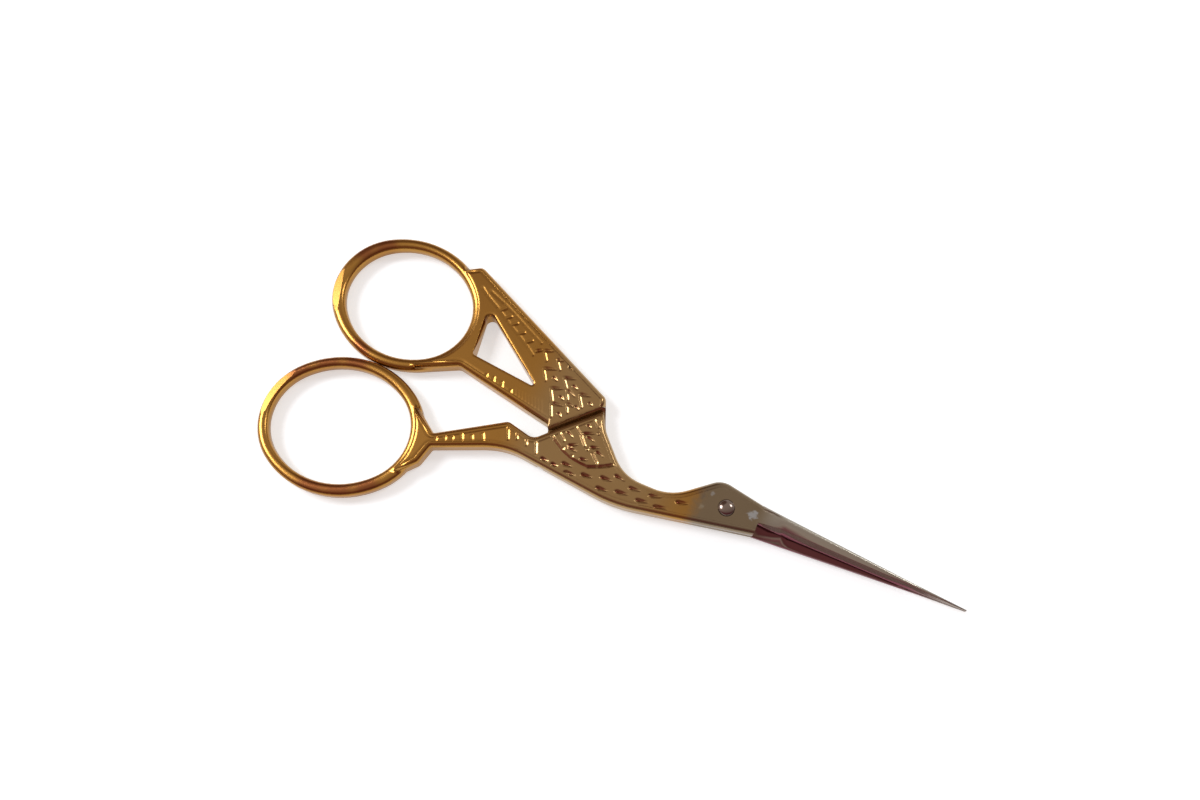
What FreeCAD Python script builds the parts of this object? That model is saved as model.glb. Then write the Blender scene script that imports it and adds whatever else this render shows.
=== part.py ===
import FreeCAD, Part
import math
import os

import Sketcher
from FreeCAD import Vector

# Stork embroidery scissors, closed and lying flat. Each half is one forging: a finger ring, a leg, half of
# the bird's body, neck and head, and one blade as half of the beak. The halves lap in the breast, the neck,
# the head and the beak, where each is half as thick as the rest, and turn on one rivet, the bird's eye.
#
# Frame: millimetres. The rivet's axis is Z, the underside rests on Z = 0, the beak points along +X, the
# rear half's ring is at +Y and the front half's ring at -Y. The front half is the upper one in the lap.

# Name, size and what it measures. Places are distances from the rivet's axis, along and across the beak.
SIZES = (
    ("half_thickness", 1.7, "one half, where the two halves lap"),
    ("lap_gap", 0.04, "between the two lapped faces"),
    ("slot_gap", 1.0, "between the halves at the shoulders of the lap, along"),
    ("edge_round", 0.9, "rounding of the forged edges"),
    ("round_share", 0.7, "most of one half's thickness that the rounding may take"),
    ("corner_extra", 0.25, "how much rounder a corner is in plan than its edges are"),
    # rivet
    ("rivet_radius", 1.0, "shank"),
    ("rivet_play", 0.04, "between shank and front half, all round"),
    ("eye_radius", 1.3, "domed head"),
    ("eye_height", 0.55, "domed head, with its rim"),
    ("eye_rim", 0.12, "straight side of the domed head"),
    ("eye_flat", 0.2, "radius of the flat on top of the dome"),
    ("eye_seat", 0.03, "between domed head and front half"),
    ("peen_radius", 1.5, "flush tail, where it fills its countersink"),
    ("peen_depth", 0.5, "countersink in the rear half"),
    # beak
    ("beak_root", 5.3, "where the blades begin"),
    ("beak_bevel", 9.5, "where the bevel reaches its full width"),
    ("beak_bend", 30.0, "where the taper to the point begins"),
    ("beak_length", 39.0, "point of the blades"),
    ("root_back", 2.5, "blade's back from the beak's middle line, at the root"),
    ("bend_back", 0.62, "the same at the bend"),
    ("tip_back", 0.12, "the same at the point"),
    ("root_edge", 0.7, "cutting edge past the beak's middle line, at the root"),
    ("bend_edge", 0.48, "the same at the bend"),
    ("tip_edge", 0.1, "the same at the point"),
    ("root_middle", 0.25, "beak's middle line above the rivet's axis, at the root"),
    ("bevel_start", 0.3, "bevel at the root, along and across"),
    ("bevel_crest", 1.3, "where the outer face begins to fall, from the beak's middle line, at the root"),
    ("bend_crest", 0.3, "the same at the bend"),
    ("tip_crest", 0.03, "the same at the point"),
    ("bevel_fall", 0.33, "fall of the outer face to the bevel's ridge, where the bevel is widest"),
    ("bend_fall", 0.1, "the same at the bend"),
    ("tip_fall", 0.01, "the same at the point"),
    ("bevel_ridge", 0.2, "bevel's ridge from the beak's middle line, where it is widest"),
    ("bend_ridge", 0.02, "the same at the bend"),
    ("tip_ridge", 0.0, "the same at the point"),
    ("bevel_land", 0.35, "height of the cutting edge's own face, where the bevel is widest"),
    ("bend_land", 0.3, "the same at the bend"),
    ("tip_land", 0.12, "the same at the point"),
    ("bend_thickness", 0.95, "blade at the bend"),
    ("tip_thickness", 0.35, "blade at the point"),
    ("root_round", 0.7, "rounding of the blade's back at the root"),
    ("bend_round", 0.3, "the same at the bend"),
    ("tip_round", 0.08, "the same at the point"),
    # head, neck and breast, in both halves
    ("crown_x", 2.1, "top of the head, behind the rivet"),
    ("crown_y", 4.1, "top of the head, above the rivet"),
    ("crown_round", 3.3, "top of the head"),
    ("nape_front_x", 8.8, "front of the neck's hollow"),
    ("nape_front_round", 8.0, "the same, rounded"),
    ("nape_back_x", 16.8, "rear of the neck's hollow"),
    ("nape_back_round", 7.0, "the same, rounded"),
    ("nape_y", 1.5, "floor of the neck's hollow, below the rivet"),
    ("shoulder_x", 22.4, "where neck and back meet, behind the rivet"),
    ("shoulder_y", 4.35, "where neck and back meet, above the rivet"),
    ("shoulder_round", 8.0, "where neck and back meet"),
    ("breast_x", 16.4, "fullest part of the breast, behind the rivet"),
    ("breast_y", 6.7, "fullest part of the breast, below the rivet"),
    ("breast_round", 24.0, "curve of the breast"),
    # shoulders of the lap
    ("slot_low_x", 30.2, "lower end of the front half's shoulder, below the wing"),
    ("slot_low_y", 0.8, "the same, above the rivet"),
    ("slot_top_x", 23.85, "its upper end, on the bird's back"),
    ("slot_top_y", 7.1, "the same, above the rivet"),
    ("thigh_top_x", 31.2, "upper end of the rear half's shoulder, before the front leg's thigh"),
    ("thigh_top_y", 1.4, "the same, above the rivet"),
    ("thigh_low_x", 29.2, "its lower end, on the breast"),
    ("thigh_low_y", 5.4, "the same, below the rivet"),
    # finger rings
    ("leg_length", 48.5, "from the rivet's axis to the near end of both rings"),
    ("ring_length", 27.25, "both rings, outside, along"),
    ("ring_width", 23.45, "both rings, outside, across"),
    ("ring_gap", 0.1, "between the closed rings"),
    ("ring_tilt", 9.5, "degrees that each ring's far end leans outwards"),
    ("ring_height", 2.4, "ring's wire, upright"),
    ("ring_round", 0.85, "rounding of the wire"),
    ("ring_round_share", 0.45, "most of the wire's width that its rounding may take"),
    ("front_wire_end", 1.7, "wire at the far end of the front ring"),
    ("rear_wire_end", 2.4, "wire at the far end of the rear ring"),
    ("wire_side", 1.9, "wire beside the finger holes"),
    ("wire_leg", 2.2, "wire at the legs"),
    # wing, tail and rear leg. A place by the ring is past its near end and outwards from its middle.
    ("wing_x", 24.4, "wing's front corner, behind the rivet"),
    ("wing_y", 9.3, "wing's front corner, above the rivet"),
    ("tail_past", 4.7, "tail's end corner"),
    ("tail_out", 10.95, "the same"),
    ("tail_root_past", 7.7, "where the tail's end runs into the ring"),
    ("tail_root_out", 9.1, "the same"),
    ("heel_past", 0.4, "where ring and rear leg meet, below"),
    ("heel_out", -7.0, "the same"),
    ("heel_round", 1.5, "the same, rounded"),
    ("flare_past", 6.9, "where the rear leg's lower edge runs into the ring"),
    ("flare_out", -10.3, "the same"),
    # window between tail and rear leg
    ("window_tail_past", 0.6, "corner between ring and tail"),
    ("window_tail_out", 4.65, "the same"),
    ("window_tail_round", 1.0, "the same, rounded"),
    ("window_foot_past", -0.8, "corner above the rear foot"),
    ("window_foot_out", -4.35, "the same"),
    ("window_foot_round", 0.5, "the same, rounded"),
    ("window_tip_x", 35.2, "corner at the thigh, behind the rivet"),
    ("window_tip_y", 6.2, "corner at the thigh, above the rivet"),
    ("window_tip_round", 0.4, "corner at the thigh"),
    # front leg
    ("hollow_x", 32.5, "hollow between knee and breast, behind the rivet"),
    ("hollow_y", 1.6, "hollow between knee and breast, below the rivet"),
    ("hollow_round", 1.8, "hollow between knee and breast"),
    ("knee_x", 37.3, "knee, behind the rivet"),
    ("knee_y", 0.55, "knee, below the rivet"),
    ("hock_past", -0.9, "where leg and ring meet, above"),
    ("hock_out", -4.65, "the same"),
    ("hock_round", 0.4, "the same, rounded"),
    ("spur_past", 3.1, "where the leg's upper corner runs into the ring"),
    ("spur_out", -7.45, "the same"),
    ("toe_past", 1.5, "where the foot runs into the ring"),
    ("toe_out", 3.55, "the same"),
    ("foot_past", -0.9, "foot's knuckle"),
    ("foot_out", 0.75, "the same"),
    ("ankle_past", -1.6, "where leg and foot meet, below"),
    ("ankle_out", -2.35, "the same"),
    ("ankle_round", 0.5, "the same, rounded"),
    ("thigh_x", 36.1, "underside of the thigh, behind the rivet"),
    ("thigh_y", 4.75, "underside of the thigh, below the rivet"),
    ("thigh_round", 13.0, "underside of the thigh"),
)

# A filed edge is three flats that touch its rounding: one cut at 45 degrees, then one on each of its edges.
FIRST_CUT = 1 - math.tan(math.radians(22.5))
SECOND_CUT = math.tan(math.radians(22.5)) - math.tan(math.radians(11.25))

# An oval is four arcs. The end arcs' radius is less than half the width by this share of the half length
# that the oval has over its half width, and the arcs meet at this angle from the long axis.
OVAL_SHARE = 0.6
OVAL_JOIN = math.atan2(1 + 2 * OVAL_SHARE, 2 * OVAL_SHARE * (1 + OVAL_SHARE))

WIRE_MIDDLE = 0.5
TOUCH = 1e-4
FRONT = 1
REAR = -1


class Size:
    """A length with the expression that it is worked out by."""

    def __init__(self, value, text):
        self.value = value
        self.text = text

    def joined(self, sign, other, value):
        return Size(value, "(%s %s %s)" % (self.text, sign, other.text))

    def __add__(self, other):
        other = as_size(other)
        return self.joined("+", other, self.value + other.value)

    def __sub__(self, other):
        other = as_size(other)
        return self.joined("-", other, self.value - other.value)

    def __mul__(self, other):
        other = as_size(other)
        return self.joined("*", other, self.value * other.value)

    def __truediv__(self, other):
        other = as_size(other)
        return self.joined("/", other, self.value / other.value)

    def __neg__(self):
        return Size(-self.value, "(-%s)" % self.text)

    def __radd__(self, other):
        return as_size(other) + self

    def __rsub__(self, other):
        return as_size(other) - self

    def __rmul__(self, other):
        return as_size(other) * self


def as_size(number):
    return number if isinstance(number, Size) else Size(float(number), repr(number))


def cosine(degrees):
    return Size(math.cos(math.radians(degrees.value)), "cos(%s * 1 deg)" % degrees.text)


def sine(degrees):
    return Size(math.sin(math.radians(degrees.value)), "sin(%s * 1 deg)" % degrees.text)


def smaller(first, second):
    return Size(min(first.value, second.value), "min(%s; %s)" % (first.text, second.text))


def between(first, last, start, place, end):
    """The size at a place on the straight line from first, at start, to last, at end."""
    return first + (last - first) * (place - start) / (end - start)


doc = FreeCAD.newDocument("stork_scissors")
sheet = doc.addObject("Spreadsheet::Sheet", "Sizes")


def fill_sheet():
    sizes = {}
    for row, (name, value, note) in enumerate(SIZES, start=1):
        sheet.set("A%d" % row, name)
        sheet.set("B%d" % row, repr(value))
        sheet.set("C%d" % row, note)
        sheet.setAlias("B%d" % row, name)
        sizes[name] = Size(value, "Sizes." + name)
    doc.recompute()
    return sizes


SIZE = fill_sheet()


def of(name):
    return SIZE[name]


def bind(thing, prop, size):
    size = as_size(size)
    thing.setExpression(prop, size.text)


# ---- sketches ----

def new_body(name):
    body = doc.addObject("PartDesign::Body", name)
    body.Label = name
    return body


def new_sketch(body, name, role="XY_Plane", offset=None):
    """A sketch on one of the body's own planes, moved along the plane's normal by the offset."""
    sketch = body.newObject("Sketcher::SketchObject", name)
    plane = next(item for item in body.Origin.OriginFeatures if item.Role == role)
    sketch.AttachmentSupport = [(plane, "")]
    sketch.MapMode = "FlatFace"
    if offset is not None:
        bind(sketch, "AttachmentOffset.Base.z", offset)
    return sketch


def hold(sketch, constraint, size):
    index = sketch.addConstraint(constraint)
    bind(sketch, "Constraints[%d]" % index, size)


def hold_point(sketch, geometry, position, across, along):
    hold(sketch, Sketcher.Constraint("DistanceX", -1, 1, geometry, position, across.value), across)
    hold(sketch, Sketcher.Constraint("DistanceY", -1, 1, geometry, position, along.value), along)


def towards(start, end):
    length = math.hypot(end[0] - start[0], end[1] - start[1])
    return (end[0] - start[0]) / length, (end[1] - start[1]) / length


def corner_arc(before, corner, after, radius):
    """The arc that rounds a corner: its two ends, its centre and whether it turns left."""
    back = towards(corner, before)
    ahead = towards(corner, after)
    angle = math.acos(max(-1.0, min(1.0, back[0] * ahead[0] + back[1] * ahead[1])))
    reach = radius / math.tan(angle / 2)
    start = (corner[0] + back[0] * reach, corner[1] + back[1] * reach)
    end = (corner[0] + ahead[0] * reach, corner[1] + ahead[1] * reach)
    middle = towards((0, 0), (back[0] + ahead[0], back[1] + ahead[1]))
    depth = radius / math.sin(angle / 2)
    centre = (corner[0] + middle[0] * depth, corner[1] + middle[1] * depth)
    turns_left = ahead[0] * back[1] - ahead[1] * back[0] > 0
    return start, end, centre, turns_left


def outline(sketch, corners):
    """A closed outline through the corners (x, y) or, where it is rounded, (x, y, radius)."""
    corners = [tuple(as_size(value) for value in corner) for corner in corners]
    places = [(corner[0].value, corner[1].value) for corner in corners]
    count = len(corners)
    arcs = []
    for index, corner in enumerate(corners):
        arc = None
        if len(corner) == 3:
            following = places[(index + 1) % count]
            arc = corner_arc(places[index - 1], places[index], following, corner[2].value)
        arcs.append(arc)
    lines = []
    for index in range(count):
        following = (index + 1) % count
        start = arcs[index][1] if arcs[index] else places[index]
        end = arcs[following][0] if arcs[following] else places[following]
        lines.append(sketch.addGeometry(Part.LineSegment(Vector(*start, 0), Vector(*end, 0)), False))
    rules = []
    held = []
    for index, corner in enumerate(corners):
        before = lines[index - 1]
        after = lines[index]
        if arcs[index] is None:
            rules.append(Sketcher.Constraint("Coincident", before, 2, after, 1))
            held.append((after, 1, corner, None))
            continue
        start, end, centre, turns_left = arcs[index]
        angles = [math.atan2(place[1] - centre[1], place[0] - centre[0]) for place in (start, end)]
        if not turns_left:
            angles.reverse()
        circle = Part.Circle(Vector(*centre, 0), Vector(0, 0, 1), corner[2].value)
        arc = sketch.addGeometry(Part.ArcOfCircle(circle, *angles), False)
        point = sketch.addGeometry(Part.Point(Vector(*places[index], 0)), True)
        first, last = (1, 2) if turns_left else (2, 1)
        rules.append(Sketcher.Constraint("Tangent", before, 2, arc, first))
        rules.append(Sketcher.Constraint("Tangent", arc, last, after, 1))
        rules.append(Sketcher.Constraint("PointOnObject", point, 1, before))
        rules.append(Sketcher.Constraint("PointOnObject", point, 1, after))
        held.append((point, 1, corner, arc))
    sketch.addConstraint(rules)
    for geometry, position, corner, arc in held:
        hold_point(sketch, geometry, position, corner[0], corner[1])
        if arc is not None:
            hold(sketch, Sketcher.Constraint("Radius", arc, corner[2].value), corner[2])


def arc_outline(sketch, corners, radii):
    """A closed outline, anticlockwise through the corners. A side with a radius is an arc that swells out."""
    places = [Vector(corner[0].value, corner[1].value, 0) for corner in corners]
    sides = []
    for index, radius in enumerate(radii):
        start = places[index]
        end = places[(index + 1) % len(places)]
        side = Part.LineSegment(start, end)
        if radius is not None:
            half = (end - start) / 2
            depth = math.sqrt(radius.value ** 2 - half.Length ** 2)
            centre = start + half + Vector(-half.y, half.x, 0).normalize() * depth
            angles = [math.atan2(place.y - centre.y, place.x - centre.x) for place in (start, end)]
            side = Part.ArcOfCircle(Part.Circle(centre, Vector(0, 0, 1), radius.value), *angles)
        sides.append(sketch.addGeometry(side, False))
    for index, corner in enumerate(corners):
        sketch.addConstraint(Sketcher.Constraint("Coincident", sides[index - 1], 2, sides[index], 1))
        hold_point(sketch, sides[index], 1, *corner)
        if radii[index] is not None:
            hold(sketch, Sketcher.Constraint("Radius", sides[index], radii[index].value), radii[index])


def oval_radii(length, width):
    """The radii of an oval's end arcs and of its side arcs."""
    excess = (length - width) / 2
    at_ends = width / 2 - excess * OVAL_SHARE
    along_sides = width / 2 + excess * (1 + 2 * OVAL_SHARE) / (2 * OVAL_SHARE)
    return at_ends, along_sides


def oval(sketch, centre_x, centre_y, length, width, tilt):
    """An oval with its length along X, turned anticlockwise by the tilt in degrees."""
    at_ends, along_sides = oval_radii(length, width)
    along = length / 2 - at_ends * (1 - math.cos(OVAL_JOIN))
    across = at_ends * math.sin(OVAL_JOIN)
    corners = []
    for ahead, left in ((along, -across), (along, across), (-along, across), (-along, -across)):
        corners.append((centre_x + ahead * cosine(tilt) - left * sine(tilt),
                        centre_y + ahead * sine(tilt) + left * cosine(tilt)))
    arc_outline(sketch, corners, (at_ends, along_sides, at_ends, along_sides))


def round_hole(sketch, radius):
    circle = sketch.addGeometry(Part.Circle(Vector(0, 0, 0), Vector(0, 0, 1), radius.value), False)
    sketch.addConstraint(Sketcher.Constraint("Coincident", circle, 3, -1, 1))
    hold(sketch, Sketcher.Constraint("Radius", circle, radius.value), radius)


# ---- features ----

def pad(body, name, sketch, length, middle=False):
    feature = body.newObject("PartDesign::Pad", name)
    feature.Profile = sketch
    feature.Midplane = middle
    bind(feature, "Length", length)
    doc.recompute()
    return feature


def pocket(body, name, sketch, depth=None, upwards=False):
    """A cut from the sketch's plane, down or up by the depth, or right through both ways without one."""
    before = body.Tip.Shape.Volume
    feature = body.newObject("PartDesign::Pocket", name)
    feature.Profile = sketch
    feature.Reversed = upwards
    if depth is None:
        feature.Type = "ThroughAll"
        feature.Midplane = True
    else:
        bind(feature, "Length", depth)
    doc.recompute()
    if feature.Shape.Volume >= before:
        raise RuntimeError(name + " cuts nothing")
    return feature


def fillet(body, name, edges, radius):
    base = body.Tip
    feature = body.newObject("PartDesign::Fillet", name)
    feature.Base = (base, edges)
    bind(feature, "Radius", radius)
    doc.recompute()
    return feature


def file_edges(body, name, rounding):
    """Takes off the edges that lie flat in three flats each, which touch the rounding."""
    for step, cut in enumerate((FIRST_CUT, SECOND_CUT), start=1):
        base = body.Tip
        feature = body.newObject("PartDesign::Chamfer", "%s_%d" % (name, step))
        feature.Base = (base, edge_names(base.Shape, lies_flat))
        bind(feature, "Size", rounding * cut)
        doc.recompute()


def edge_names(shape, wanted):
    return ["Edge%d" % number for number, edge in enumerate(shape.Edges, start=1) if wanted(edge)]


def lies_flat(edge):
    heights = [vertex.Z for vertex in edge.Vertexes]
    return max(heights) - min(heights) < TOUCH


def is_at(vertex, place):
    return abs(vertex.X - place[0].value) < TOUCH and abs(vertex.Y - place[1].value) < TOUCH


# ---- sizes shared by the pieces ----

THICKNESS = 2 * of("half_thickness")
FRONT_FACE = of("half_thickness") + of("lap_gap") / 2      # inner face of the front half, in the lap
REAR_FACE = of("half_thickness") - of("lap_gap") / 2       # inner face of the rear half, in the lap
LAYER = of("half_thickness") - of("lap_gap") / 2           # thickness of one half in the lap
EDGE_ROUND = smaller(of("edge_round"), of("half_thickness") * of("round_share"))
CORNER_ROUND = of("edge_round") + of("corner_extra")
ROOT_TOP = of("root_middle") + of("root_back")
ROOT_LOW = of("root_middle") - of("root_back")

HEAD_AND_BACK = (
    (of("beak_root"), ROOT_TOP),
    (-of("crown_x"), of("crown_y"), of("crown_round")),
    (-of("nape_front_x"), -of("nape_y"), of("nape_front_round")),
    (-of("nape_back_x"), -of("nape_y"), of("nape_back_round")),
    (-of("shoulder_x"), of("shoulder_y"), of("shoulder_round")),
)
BREAST_AND_CHIN = (
    (-of("breast_x"), -of("breast_y"), of("breast_round")),
    (of("beak_root"), ROOT_LOW),
)
SLOT_LOW = (-of("slot_low_x"), of("slot_low_y"))
SLOT_TOP = (-of("slot_top_x"), of("slot_top_y"))
THIGH_TOP = (-of("thigh_top_x"), of("thigh_top_y"))
THIGH_LOW = (-of("thigh_low_x"), -of("thigh_low_y"))

RING_X = -(of("leg_length") + of("ring_length") / 2)
RING_SIDE = oval_radii(of("ring_length"), of("ring_width"))[1]
RING_OUT = of("ring_gap") / 2 + RING_SIDE - (RING_SIDE - of("ring_width") / 2) * cosine(of("ring_tilt"))


def ring_middle(side):
    return RING_X, -side * RING_OUT


def by_ring(name, side):
    """A place that is given past the ring's near end and outwards from its middle."""
    return -(of("leg_length") + of(name + "_past")), -side * (RING_OUT + of(name + "_out"))


# ---- the halves ----

def leg_outline(side):
    """Leg, thigh and what else of the outline is this half's own, from the back round to the breast."""
    if side == FRONT:
        return (
            SLOT_TOP,
            SLOT_LOW,
            (-of("hollow_x"), -of("hollow_y"), of("hollow_round")),
            (-of("knee_x"), -of("knee_y"), CORNER_ROUND),
            (*by_ring("hock", side), of("hock_round")),
            by_ring("spur", side),
            ring_middle(side),
            by_ring("toe", side),
            (*by_ring("foot", side), CORNER_ROUND),
            (*by_ring("ankle", side), of("ankle_round")),
            (-of("thigh_x"), -of("thigh_y"), of("thigh_round")),
        )
    return (
        (-of("wing_x"), of("wing_y"), CORNER_ROUND),
        (*by_ring("tail", side), CORNER_ROUND),
        by_ring("tail_root", side),
        ring_middle(side),
        by_ring("flare", side),
        (*by_ring("heel", side), of("heel_round")),
        THIGH_TOP,
        THIGH_LOW,
    )


def is_rim(edge, side):
    """Whether the edge is a forged one, not on the lap's shoulder, at the beak's root or inside the ring."""
    ends = (SLOT_LOW, SLOT_TOP) if side == FRONT else (THIGH_TOP, THIGH_LOW)
    vertices = edge.Vertexes
    at_root = all(abs(vertex.X - of("beak_root").value) < TOUCH for vertex in vertices)
    on_shoulder = all(any(is_at(vertex, end) for end in ends) for vertex in vertices)
    in_ring = any(is_at(vertex, ring_middle(side)) for vertex in vertices)
    return lies_flat(edge) and not at_root and not on_shoulder and not in_ring


def forge_blank(body, side):
    """The half's own outline at full thickness, with its forged edges rounded above and below."""
    sketch = new_sketch(body, body.Label + "_outline")
    outline(sketch, HEAD_AND_BACK + leg_outline(side) + BREAST_AND_CHIN)
    blank = pad(body, body.Label + "_blank", sketch, THICKNESS)
    rims = edge_names(blank.Shape, lambda edge: is_rim(edge, side))
    fillet(body, body.Label + "_edges", rims, EDGE_ROUND)


def cut_lap(body, side):
    """Takes away the other half's room in the lap, up to the shoulder and a small gap beyond it."""
    low, top = (THIGH_LOW, THIGH_TOP) if side == FRONT else (SLOT_LOW, SLOT_TOP)
    low = (low[0] - of("slot_gap"), low[1])
    top = (top[0] - of("slot_gap"), top[1])
    past_top = (2 * top[0] - low[0], 2 * top[1] - low[1])
    past_low = (2 * low[0] - top[0], 2 * low[1] - top[1])
    end = of("beak_root") + of("root_back")
    sketch = new_sketch(body, body.Label + "_lap_outline", offset=FRONT_FACE if side == FRONT else REAR_FACE)
    outline(sketch, (past_low, (end, past_low[1] - of("breast_y")), (end, past_top[1]), past_top))
    pocket(body, body.Label + "_lap", sketch, THICKNESS, upwards=side == REAR)


def blade_section(body, side, name, place, thickness, back, rounding, crest, fall, ridge, edge, land):
    """One section across a blade: flat inner face, rounded back, outer face, its fall, bevel and edge."""
    middle = between(of("root_middle"), as_size(0), of("beak_root"), place, of("beak_length"))
    inner = FRONT_FACE if side == FRONT else REAR_FACE
    sketch = new_sketch(body, body.Label + "_" + name, "YZ_Plane", place)
    outer = inner + side * thickness
    outline(sketch, (
        (middle - side * edge, inner),
        (middle + side * back, inner),
        (middle + side * back, outer, rounding),
        (middle + side * crest, outer),
        (middle + side * ridge, outer - side * fall),
        (middle - side * edge, inner + side * land),
    ))
    return sketch


def forge_blade(body, side):
    """The blade, from the head to the point of the beak."""
    def widest(at_root, at_bend):
        return between(at_root, at_bend, of("beak_root"), of("beak_bevel"), of("beak_bend"))

    root = blade_section(body, side, "root", of("beak_root"), LAYER, of("root_back"), of("root_round"),
                         of("bevel_crest"), as_size(0), of("bevel_start") - of("root_edge"),
                         of("root_edge"), LAYER - of("bevel_start"))
    sections = [
        blade_section(body, side, "bevel", of("beak_bevel"), widest(LAYER, of("bend_thickness")),
                      widest(of("root_back"), of("bend_back")), widest(of("root_round"), of("bend_round")),
                      of("bevel_crest"), of("bevel_fall"), of("bevel_ridge"),
                      widest(of("root_edge"), of("bend_edge")), of("bevel_land")),
        blade_section(body, side, "bend", of("beak_bend"), of("bend_thickness"), of("bend_back"),
                      of("bend_round"), of("bend_crest"), of("bend_fall"), of("bend_ridge"),
                      of("bend_edge"), of("bend_land")),
        blade_section(body, side, "point", of("beak_length"), of("tip_thickness"), of("tip_back"),
                      of("tip_round"), of("tip_crest"), of("tip_fall"), of("tip_ridge"),
                      of("tip_edge"), of("tip_land")),
    ]
    doc.recompute()
    blade = body.newObject("PartDesign::AdditiveLoft", body.Label + "_blade")
    blade.Profile = root
    blade.Sections = sections
    blade.Ruled = True
    doc.recompute()


def wire_end(side):
    return of("front_wire_end") if side == FRONT else of("rear_wire_end")


def ring_oval(sketch, side, wire):
    """The ring's outline, inwards from its outside by the wire or by a share of it."""
    end = wire_end(side) * wire
    leg = of("wire_leg") * wire
    middle_x, middle_y = ring_middle(side)
    oval(sketch, middle_x + (end - leg) / 2, middle_y, of("ring_length") - end - leg,
         of("ring_width") - 2 * of("wire_side") * wire, side * of("ring_tilt"))


def forge_ring(side):
    """The finger ring by itself, with its wire rounded."""
    name = "front_ring" if side == FRONT else "rear_ring"
    body = new_body(name)
    sketch = new_sketch(body, name + "_outline", offset=of("half_thickness"))
    ring_oval(sketch, side, 0)
    ring_oval(sketch, side, 1)
    pad(body, name + "_blank", sketch, of("ring_height"), middle=True)
    wire = smaller(of("wire_side"), smaller(wire_end(side), of("wire_leg")))
    rounding = smaller(of("ring_round"), smaller(wire, of("ring_height")) * of("ring_round_share"))
    file_edges(body, name + "_edges", rounding)
    return body


def join_ring(body, side):
    """Clears the finger hole as far as the middle of the wire and sets the ring round it."""
    sketch = new_sketch(body, body.Label + "_finger_hole", offset=of("half_thickness"))
    ring_oval(sketch, side, WIRE_MIDDLE)
    pocket(body, body.Label + "_hole", sketch)
    joint = body.newObject("PartDesign::Boolean", body.Label + "_ring")
    joint.Type = "Fuse"
    joint.setObjects([forge_ring(side)])
    doc.recompute()


def bore(body, radius):
    sketch = new_sketch(body, body.Label + "_bore_outline", offset=of("half_thickness"))
    round_hole(sketch, radius)
    pocket(body, body.Label + "_bore", sketch)


def forge_half(name, side):
    body = new_body(name)
    forge_blank(body, side)
    cut_lap(body, side)
    forge_blade(body, side)
    return body


def front_half():
    body = forge_half("front_half", FRONT)
    join_ring(body, FRONT)
    bore(body, of("rivet_radius") + of("rivet_play"))
    return body


def rear_half():
    body = forge_half("rear_half", REAR)
    sketch = new_sketch(body, "window_outline", offset=of("half_thickness"))
    outline(sketch, (
        (*by_ring("window_tail", REAR), of("window_tail_round")),
        (*by_ring("window_foot", REAR), of("window_foot_round")),
        (-of("window_tip_x"), of("window_tip_y"), of("window_tip_round")),
    ))
    pocket(body, "window", sketch)
    join_ring(body, REAR)
    bore(body, of("rivet_radius"))
    sink = new_sketch(body, "countersink_outline", "XZ_Plane")
    outline(sink, rivet_foot())
    groove = body.newObject("PartDesign::Groove", "countersink")
    groove.Profile = sink
    groove.ReferenceAxis = (sink, ["V_Axis"])
    groove.Angle = 360
    doc.recompute()
    return body


def rivet_foot():
    """Half section of the tail: a cone from the underside up to the shank."""
    return (
        (0, 0),
        (of("peen_radius"), 0),
        (of("rivet_radius"), of("peen_depth")),
        (0, of("peen_depth")),
    )


def pivot_rivet():
    """Shank, flush tail and the low dome that is the bird's eye."""
    body = new_body("pivot_rivet")
    nothing = as_size(0)
    seat = THICKNESS + of("eye_seat")
    rise = of("eye_height") - of("eye_rim")
    run = of("eye_radius") - of("eye_flat")
    section = (
        (nothing, nothing),
        (of("peen_radius"), nothing),
        (of("rivet_radius"), of("peen_depth")),
        (of("rivet_radius"), seat),
        (of("eye_radius"), seat),
        (of("eye_radius"), seat + of("eye_rim")),
        (of("eye_flat"), seat + of("eye_height")),
        (nothing, seat + of("eye_height")),
    )
    dome_radius = (run * run + rise * rise) / (2 * rise)
    sketch = new_sketch(body, "rivet_section", "XZ_Plane")
    arc_outline(sketch, section, (None, None, None, None, None, dome_radius, None, None))
    turned = body.newObject("PartDesign::Revolution", "rivet_turned")
    turned.Profile = sketch
    turned.ReferenceAxis = (sketch, ["V_Axis"])
    turned.Angle = 360
    doc.recompute()
    return body


def check_all():
    for item in doc.Objects:
        if "Invalid" in item.State or "Error" in item.State:
            raise RuntimeError(item.Name + " is " + ", ".join(item.State))


def write(bodies):
    os.makedirs("parts", exist_ok=True)
    for body in bodies:
        shape = body.Shape
        if shape.isNull() or not shape.isValid() or len(shape.Solids) != 1:
            raise RuntimeError(body.Label + " is not one good solid")
        shape.exportStep("parts/" + body.Label + ".step")


parts = [front_half(), rear_half(), pivot_rivet()]
doc.recompute()
check_all()
write(parts)
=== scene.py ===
import math

import bmesh
import bpy
from mathutils import Matrix, Vector
from mathutils.bvhtree import BVHTree
from mathutils.geometry import delaunay_2d_cdt
from mathutils.kdtree import KDTree


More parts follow.
